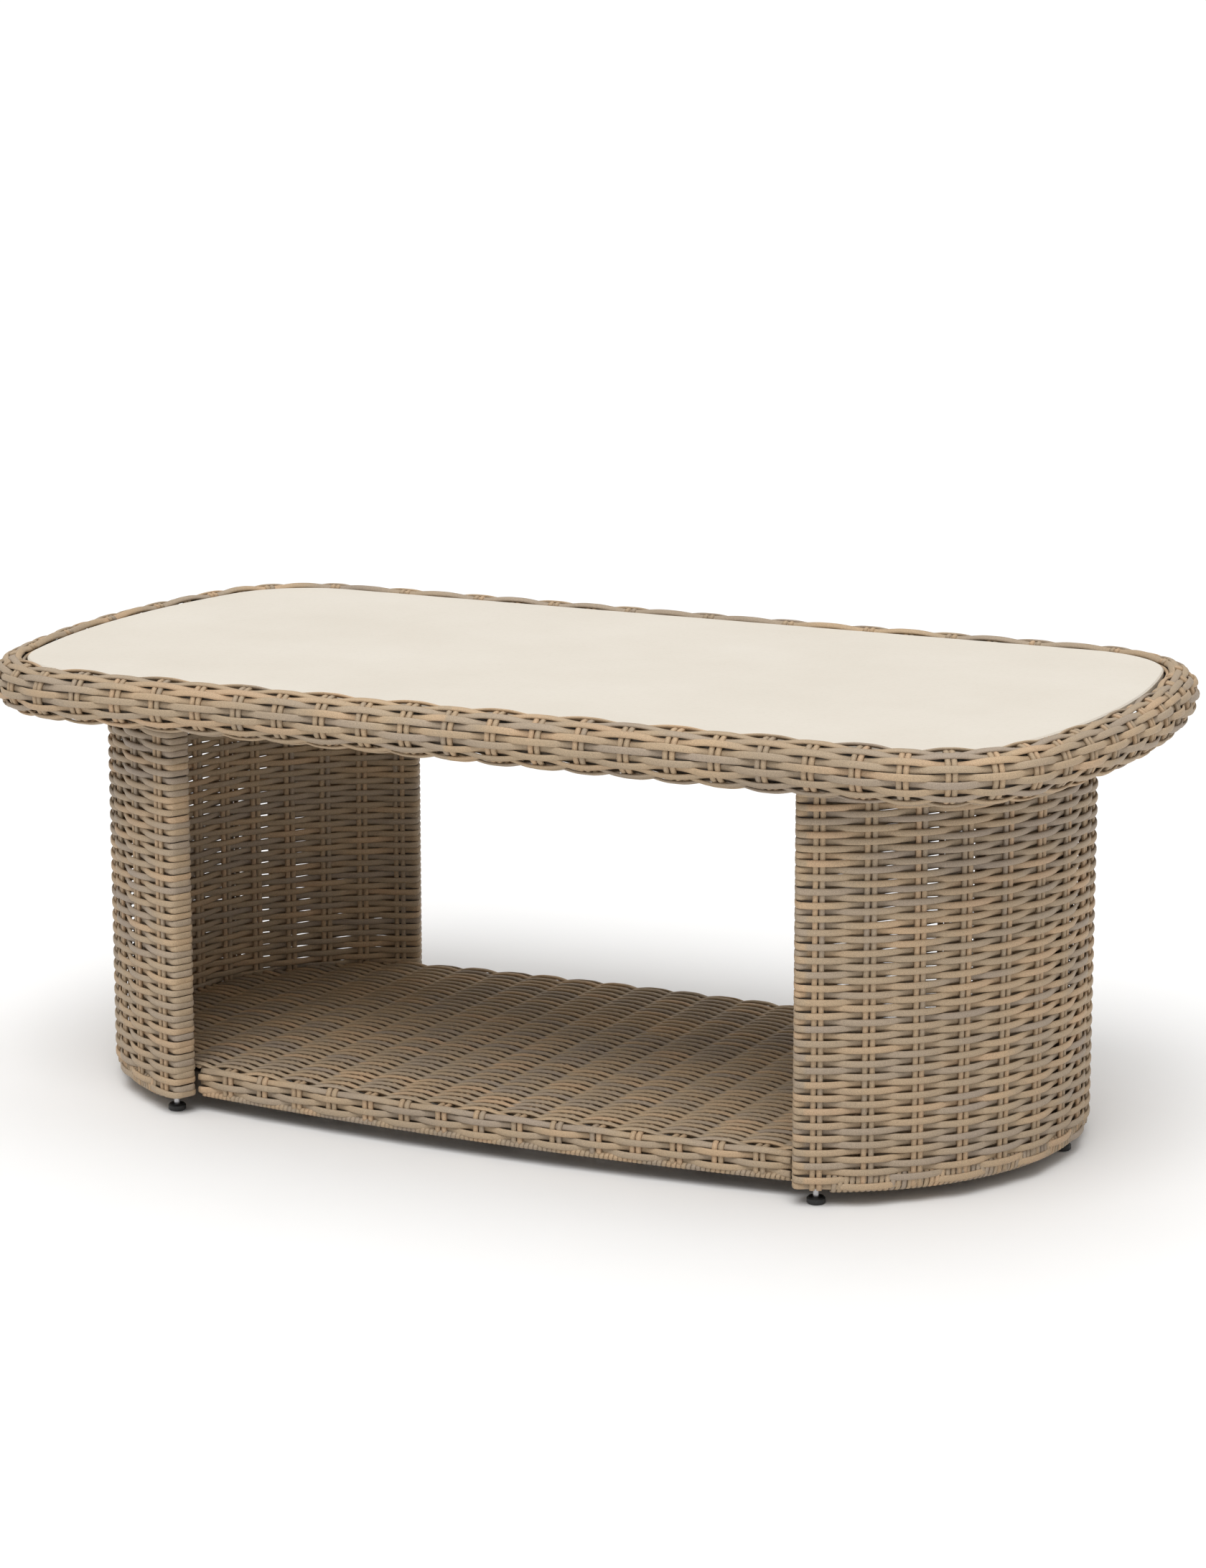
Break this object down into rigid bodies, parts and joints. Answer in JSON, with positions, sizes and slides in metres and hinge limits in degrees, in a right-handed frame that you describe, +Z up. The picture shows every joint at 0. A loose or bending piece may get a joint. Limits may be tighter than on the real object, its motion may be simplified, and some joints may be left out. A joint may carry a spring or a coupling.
{
  "type": "wicker coffee table",
  "caption": "Low oblong coffee table with a drop-in ceramic top in a woven rim, curved woven leg walls at both ends, a woven shelf between them and screw feet.",
  "frame": {"origin": "on the floor, under the middle of the table", "axes": "+X along the table's length, +Y from the front side to the rear side, +Z up"},
  "size_m": [1.1998, 0.6298, 0.46],
  "materials": {
    "tabletop": "satin, cream with fine paler flecks",
    "wicker": "matt woven strands that vary from grey taupe to tan",
    "frame": "satin powder coat",
    "stud": "zinc plated",
    "foot_pad": "moulded black",
    "bumper": "matt black"
  },
  "bodies": {
    "frame": {"panel_bumpers": "bumper", "rim_tube": "frame", "ledge_front_tube": "frame", "ledge_rear_tube": "frame", "ledge_left_tube": "frame", "ledge_right_tube": "frame", "rim_weave": "wicker", "left_cross_bar": "frame", "middle_cross_bar": "frame", "right_cross_bar": "frame", "left_end_bar": "frame", "right_end_bar": "frame", "left_top_arc": "frame", "left_bottom_arc": "frame", "left_front_post": "frame", "left_rear_post": "frame", "left_end_post": "frame", "left_leg_weave": "wicker", "right_top_arc": "frame", "right_bottom_arc": "frame", "right_front_post": "frame", "right_rear_post": "frame", "right_end_post": "frame", "right_leg_weave": "wicker", "foot_inserts": "stud", "shelf_front_tube": "frame", "shelf_rear_tube": "frame", "shelf_front_band": "wicker", "shelf_rear_band": "wicker", "shelf_left_bar": "frame", "shelf_middle_bar": "frame", "shelf_right_bar": "frame", "shelf_deck": "wicker"},
    "top_panel": {"top_panel": "tabletop"},
    "right_front_stud": {"right_front_foot_stud": "stud"},
    "right_front_pad": {"right_front_foot_pad": "foot_pad"},
    "right_end_stud": {"right_end_foot_stud": "stud"},
    "right_end_pad": {"right_end_foot_pad": "foot_pad"},
    "right_rear_stud": {"right_rear_foot_stud": "stud"},
    "right_rear_pad": {"right_rear_foot_pad": "foot_pad"},
    "left_front_stud": {"left_front_foot_stud": "stud"},
    "left_front_pad": {"left_front_foot_pad": "foot_pad"},
    "left_end_stud": {"left_end_foot_stud": "stud"},
    "left_end_pad": {"left_end_foot_pad": "foot_pad"},
    "left_rear_stud": {"left_rear_foot_stud": "stud"},
    "left_rear_pad": {"left_rear_foot_pad": "foot_pad"}
  },
  "joints": [
    {"name": "top_panel_lift", "type": "slide", "parent": "frame", "child": "top_panel", "axis": [0, 0, 1], "range_m": [0, 0.05]},
    {"name": "right_front_foot_travel", "type": "slide", "parent": "frame", "child": "right_front_stud", "axis": [0, 0, 1], "range_m": [-0.00601, 0.00401]},
    {"name": "right_front_foot_turn", "type": "hinge", "parent": "right_front_stud", "child": "right_front_pad", "pos_m": [0.35365, -0.23731, 0], "axis": [0, 0, 1], "range_deg": [-2160, 1440]},
    {"name": "right_end_foot_travel", "type": "slide", "parent": "frame", "child": "right_end_stud", "axis": [0, 0, 1], "range_m": [-0.00601, 0.00401]},
    {"name": "right_end_foot_turn", "type": "hinge", "parent": "right_end_stud", "child": "right_end_pad", "pos_m": [0.50457, 0.02728, 0], "axis": [0, 0, 1], "range_deg": [-2160, 1440]},
    {"name": "right_rear_foot_travel", "type": "slide", "parent": "frame", "child": "right_rear_stud", "axis": [0, 0, 1], "range_m": [-0.00601, 0.00401]},
    {"name": "right_rear_foot_turn", "type": "hinge", "parent": "right_rear_stud", "child": "right_rear_pad", "pos_m": [0.35365, 0.23731, 0], "axis": [0, 0, 1], "range_deg": [-2160, 1440]},
    {"name": "left_front_foot_travel", "type": "slide", "parent": "frame", "child": "left_front_stud", "axis": [0, 0, 1], "range_m": [-0.00601, 0.00401]},
    {"name": "left_front_foot_turn", "type": "hinge", "parent": "left_front_stud", "child": "left_front_pad", "pos_m": [-0.35365, -0.23731, 0], "axis": [0, 0, 1], "range_deg": [-2160, 1440]},
    {"name": "left_end_foot_travel", "type": "slide", "parent": "frame", "child": "left_end_stud", "axis": [0, 0, 1], "range_m": [-0.00601, 0.00401]},
    {"name": "left_end_foot_turn", "type": "hinge", "parent": "left_end_stud", "child": "left_end_pad", "pos_m": [-0.50457, -0.02728, 0], "axis": [0, 0, 1], "range_deg": [-2160, 1440]},
    {"name": "left_rear_foot_travel", "type": "slide", "parent": "frame", "child": "left_rear_stud", "axis": [0, 0, 1], "range_m": [-0.00601, 0.00401]},
    {"name": "left_rear_foot_turn", "type": "hinge", "parent": "left_rear_stud", "child": "left_rear_pad", "pos_m": [-0.35365, 0.23731, 0], "axis": [0, 0, 1], "range_deg": [-2160, 1440]}
  ],
  "couplings": [
    {"joint": "right_front_foot_travel", "follows": "right_front_foot_turn", "m_per_rad": 0.00015915},
    {"joint": "right_end_foot_travel", "follows": "right_end_foot_turn", "m_per_rad": 0.00015915},
    {"joint": "right_rear_foot_travel", "follows": "right_rear_foot_turn", "m_per_rad": 0.00015915},
    {"joint": "left_front_foot_travel", "follows": "left_front_foot_turn", "m_per_rad": 0.00015915},
    {"joint": "left_end_foot_travel", "follows": "left_end_foot_turn", "m_per_rad": 0.00015915},
    {"joint": "left_rear_foot_travel", "follows": "left_rear_foot_turn", "m_per_rad": 0.00015915}
  ]
}
